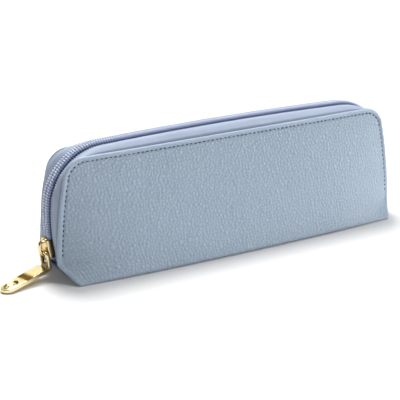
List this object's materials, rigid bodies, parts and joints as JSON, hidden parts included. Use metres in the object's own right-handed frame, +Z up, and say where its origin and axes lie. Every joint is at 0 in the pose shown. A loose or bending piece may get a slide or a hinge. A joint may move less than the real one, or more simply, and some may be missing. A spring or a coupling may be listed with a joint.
{
  "type": "zipped pencil case",
  "caption": "Soft box-shaped pencil case on a flat base, closed by one zip over the top and both ends, with a metal slider, link and pull tab.",
  "frame": {"origin": "middle of the underside of the base, on the surface that the case stands on", "axes": "+X along the case, away from the closed zip's slider; +Y from the panel that swings open towards the fixed back panel; +Z up"},
  "size_m": [0.2337, 0.0496, 0.0679],
  "materials": {
    "pebbled_leather": "soft pebbled artificial leather, satin",
    "smooth_leather": "smooth artificial leather of the zip bands, satin",
    "zip_tape": "fine woven polyester tape",
    "zip_coil": "moulded nylon coil",
    "gold_metal": "polished pale gold plating",
    "lining_cloth": "plain woven lining",
    "foam": "thin sewn-in foam",
    "board": "stiffening board",
    "thread": "close bar of sewing thread"
  },
  "bodies": {
    "back_half": {"base_panel": "pebbled_leather", "back_panel": "pebbled_leather", "back_band": "smooth_leather", "end_gusset_left": "smooth_leather", "end_gusset_right": "smooth_leather", "zip_tape_back": "zip_tape", "zip_coil_back": "zip_coil", "bar_tack_left": "thread", "bar_tack_right": "thread", "lining_back": "lining_cloth", "lining_base": "lining_cloth", "band_lining_back": "lining_cloth", "back_foam": "foam", "base_board": "board"},
    "front_half": {"front_panel": "pebbled_leather", "front_foam": "foam", "lining_front": "lining_cloth", "front_band": "smooth_leather", "band_lining_front": "lining_cloth", "zip_tape_front": "zip_tape", "zip_coil_front": "zip_coil"},
    "slider": {"slider_body": "gold_metal", "slider_bridge": "gold_metal"},
    "link": {"pull_link": "gold_metal"},
    "tab": {"pull_tab": "gold_metal"}
  },
  "joints": [
    {"name": "front_opening", "type": "hinge", "parent": "back_half", "child": "front_half", "pos_m": [0, -0.02485, 0], "axis": [1, 0, 0], "range_deg": [0, 30]},
    {"name": "slider_travel", "type": "hinge", "parent": "back_half", "child": "slider", "pos_m": [-0.0019, 0, 0.03], "axis": [0, 1, 0], "range_deg": [0, 9.5]},
    {"name": "link_swing", "type": "hinge", "parent": "slider", "child": "link", "pos_m": [-0.10455, -0.0008, 0.01387], "axis": [-0.0872, 0.9962, 0], "range_deg": [-2, 90]},
    {"name": "tab_swing", "type": "hinge", "parent": "link", "child": "tab", "pos_m": [-0.10356, -0.00071, 0.00573], "axis": [-0.0872, 0.9962, 0], "range_deg": [-80, 25]}
  ]
}
